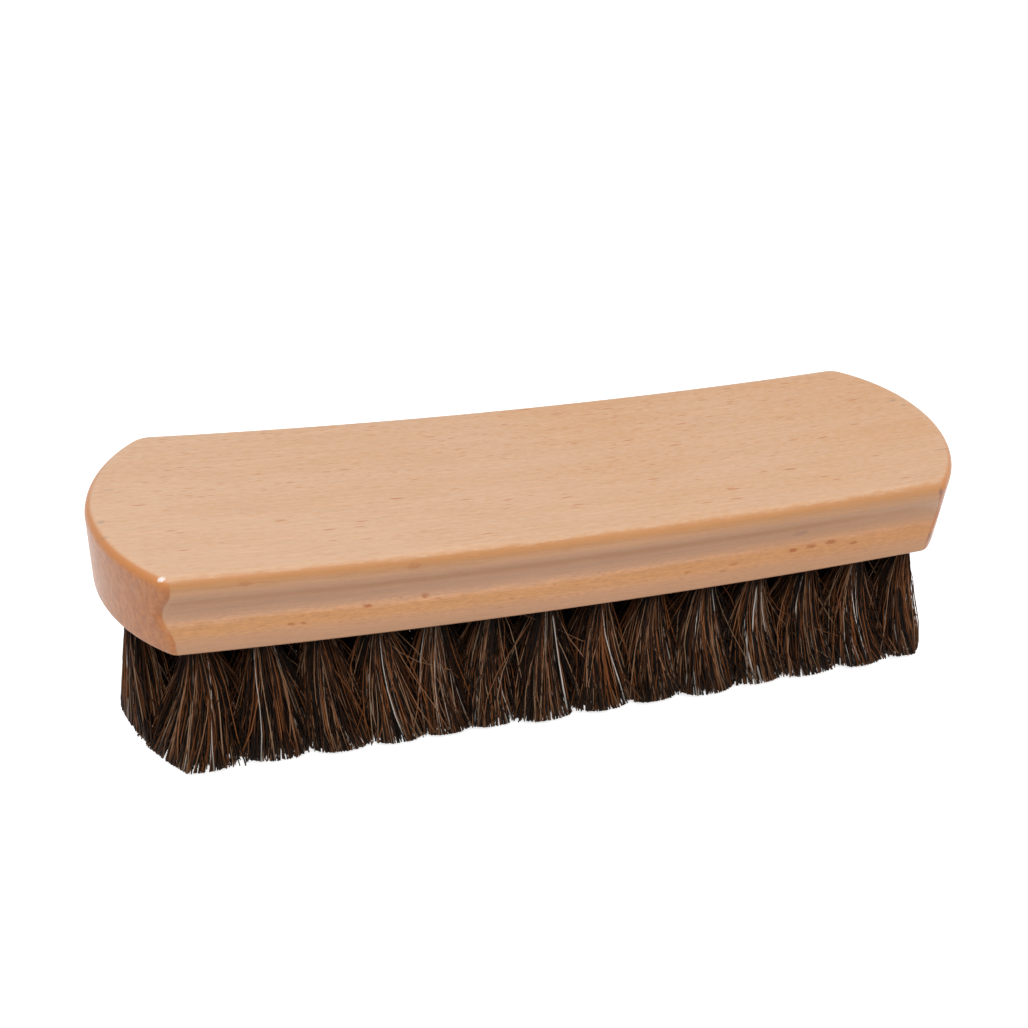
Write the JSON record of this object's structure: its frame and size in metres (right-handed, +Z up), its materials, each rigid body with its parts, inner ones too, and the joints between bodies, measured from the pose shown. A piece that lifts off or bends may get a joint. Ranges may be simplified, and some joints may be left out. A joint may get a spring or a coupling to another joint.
{
  "type": "shoe shine brush",
  "caption": "Hand brush for shining shoes: a gently bent wooden block with rounded ends and finger grooves, filled with rows of stapled horsehair tufts.",
  "frame": {"origin": "on the floor under the middle of the bristles", "axes": "+X along the brush to the right end in the picture, +Y across it to the back, +Z up out of the top of the block"},
  "size_m": [0.1706, 0.0536, 0.0424],
  "materials": {
    "beech": "satin lacquer",
    "horsehair": "mixed brown and black natural hair",
    "staple_wire": "drawn wire"
  },
  "bodies": {
    "root": {"block": "beech", "staples": "staple_wire", "tuft_r1_01": "horsehair", "tuft_r1_02": "horsehair", "tuft_r1_03": "horsehair", "tuft_r1_04": "horsehair", "tuft_r1_05": "horsehair", "tuft_r1_06": "horsehair", "tuft_r1_07": "horsehair", "tuft_r1_08": "horsehair", "tuft_r1_09": "horsehair", "tuft_r1_10": "horsehair", "tuft_r1_11": "horsehair", "tuft_r1_12": "horsehair", "tuft_r1_13": "horsehair", "tuft_r1_14": "horsehair", "tuft_r2_01": "horsehair", "tufts_r2_02_03": "horsehair", "tufts_r2_04_05": "horsehair", "tufts_r2_06_07": "horsehair", "tufts_r2_08_09": "horsehair", "tufts_r2_10_11": "horsehair", "tufts_r2_12_13": "horsehair", "tuft_r2_14": "horsehair", "tuft_r2_15": "horsehair", "tuft_r3_01": "horsehair", "tufts_r3_02_03": "horsehair", "tufts_r3_04_05": "horsehair", "tufts_r3_06_07": "horsehair", "tufts_r3_08_09": "horsehair", "tufts_r3_10_11": "horsehair", "tufts_r3_12_13": "horsehair", "tuft_r3_14": "horsehair", "tuft_r4_01": "horsehair", "tufts_r4_02_03": "horsehair", "tufts_r4_04_05": "horsehair", "tufts_r4_06_07": "horsehair", "tufts_r4_08_09": "horsehair", "tufts_r4_10_11": "horsehair", "tufts_r4_12_13": "horsehair", "tuft_r4_14": "horsehair", "tuft_r4_15": "horsehair", "tuft_r5_01": "horsehair", "tuft_r5_02": "horsehair", "tuft_r5_03": "horsehair", "tuft_r5_04": "horsehair", "tuft_r5_05": "horsehair", "tuft_r5_06": "horsehair", "tuft_r5_07": "horsehair", "tuft_r5_08": "horsehair", "tuft_r5_09": "horsehair", "tuft_r5_10": "horsehair", "tuft_r5_11": "horsehair", "tuft_r5_12": "horsehair", "tuft_r5_13": "horsehair", "tuft_r5_14": "horsehair"}
  },
  "joints": []
}
